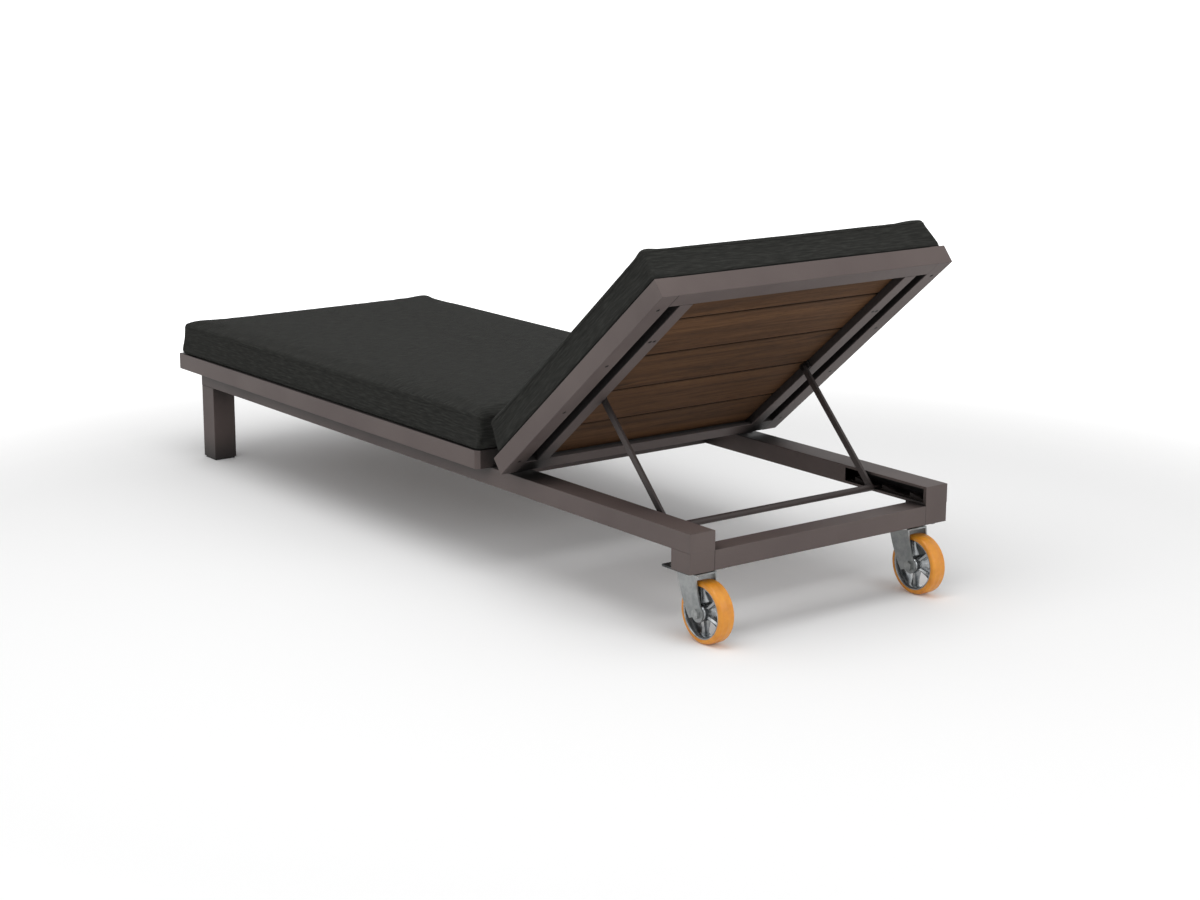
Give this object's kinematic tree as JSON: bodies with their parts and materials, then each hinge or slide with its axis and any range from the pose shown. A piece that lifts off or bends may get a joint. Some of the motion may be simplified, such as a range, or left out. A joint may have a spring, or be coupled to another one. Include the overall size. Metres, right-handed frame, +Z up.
{
  "type": "spa relaxation lounger",
  "caption": "Low wheeled lounger: tube frame, timber slats, thick seat and back cushions, raising back held by a toothed stay, two swivel casters.",
  "frame": {"origin": "on the floor, below the middle of the overall width and length", "axes": "+X towards the left side as one lies in it face up with the head at +Y, +Y from the foot end to the head end, +Z up"},
  "size_m": [0.754, 2.073, 0.7636],
  "materials": {
    "frame_paint": "matt powder coat",
    "stay_paint": "matt powder coat",
    "rack": "matt",
    "timber": "dark stained, fine grain",
    "cushion_fabric": "fine dark woven cloth",
    "tyre": "satin polyurethane",
    "wheel_centre": "polished casting",
    "fork_steel": "satin zinc",
    "caster_plate": "dark zinc",
    "bright_steel": "satin zinc",
    "dark_screws": "matt",
    "glide": "matt"
  },
  "bodies": {
    "base": {"rail_left": "frame_paint", "rail_right": "frame_paint", "rear_block_left": "frame_paint", "rear_block_right": "frame_paint", "rear_crossbar": "frame_paint", "mid_crossbar": "frame_paint", "foot_crossbar": "frame_paint", "leg_left": "frame_paint", "leg_right": "frame_paint", "foot_glides": "glide", "seat_side_left": "frame_paint", "seat_side_right": "frame_paint", "seat_inner_left": "frame_paint", "seat_inner_right": "frame_paint", "seat_foot_member": "frame_paint", "seat_rear_member": "frame_paint", "seat_slats": "timber", "seat_cushion": "cushion_fabric", "rack_left": "rack", "rack_right": "rack", "hinge_bracket_left": "frame_paint", "hinge_bracket_right": "frame_paint", "hinge_screws": "bright_steel", "caster_plate_left": "caster_plate", "caster_plate_right": "caster_plate", "caster_bolts": "bright_steel"},
    "back": {"back_side_left": "frame_paint", "back_side_right": "frame_paint", "back_inner_left": "frame_paint", "back_inner_right": "frame_paint", "back_top_member": "frame_paint", "back_bottom_member": "frame_paint", "back_slat_1": "timber", "back_slat_2": "timber", "back_slat_3": "timber", "back_slat_4": "timber", "back_slat_5": "timber", "back_cushion": "cushion_fabric", "back_screws": "dark_screws", "hinge_cheeks": "frame_paint", "hinge_pins": "bright_steel", "stay_bosses": "frame_paint", "stay_pins": "dark_screws"},
    "stay": {"stay_bar_left": "stay_paint", "stay_bar_right": "stay_paint", "stay_rod": "stay_paint"},
    "swivel_left": {"fork_left": "fork_steel", "axle_left": "bright_steel", "axle_nut_left": "bright_steel"},
    "wheel_left": {"hub_left": "wheel_centre", "tyre_left": "tyre", "bearings_left": "bright_steel"},
    "swivel_right": {"fork_right": "fork_steel", "axle_right": "bright_steel", "axle_nut_right": "bright_steel"},
    "wheel_right": {"hub_right": "wheel_centre", "tyre_right": "tyre", "bearings_right": "bright_steel"}
  },
  "joints": [
    {"name": "back_hinge", "type": "hinge", "parent": "base", "child": "back", "pos_m": [0, 0.3925, 0.2608], "axis": [1, 0, 0], "range_deg": [-39.75, 9.5]},
    {"name": "stay_pivot", "type": "hinge", "parent": "back", "child": "stay", "pos_m": [0, 0.62146, 0.42027], "axis": [1, 0, 0], "range_deg": [-19.45, 81.15]},
    {"name": "swivel_turn_left", "type": "hinge", "parent": "base", "child": "swivel_left", "pos_m": [0.282, 0.9375, 0.136], "axis": [0, 0, 1], "continuous": true},
    {"name": "wheel_roll_left", "type": "hinge", "parent": "swivel_left", "child": "wheel_left", "pos_m": [0.282, 0.974, 0.0625], "axis": [1, 0, 0], "continuous": true},
    {"name": "swivel_turn_right", "type": "hinge", "parent": "base", "child": "swivel_right", "pos_m": [-0.282, 0.9375, 0.136], "axis": [0, 0, 1], "continuous": true},
    {"name": "wheel_roll_right", "type": "hinge", "parent": "swivel_right", "child": "wheel_right", "pos_m": [-0.282, 0.974, 0.0625], "axis": [1, 0, 0], "continuous": true}
  ],
  "couplings": [
    {"joint": "stay_pivot", "follows": "back_hinge", "ratio": -2.04}
  ]
}
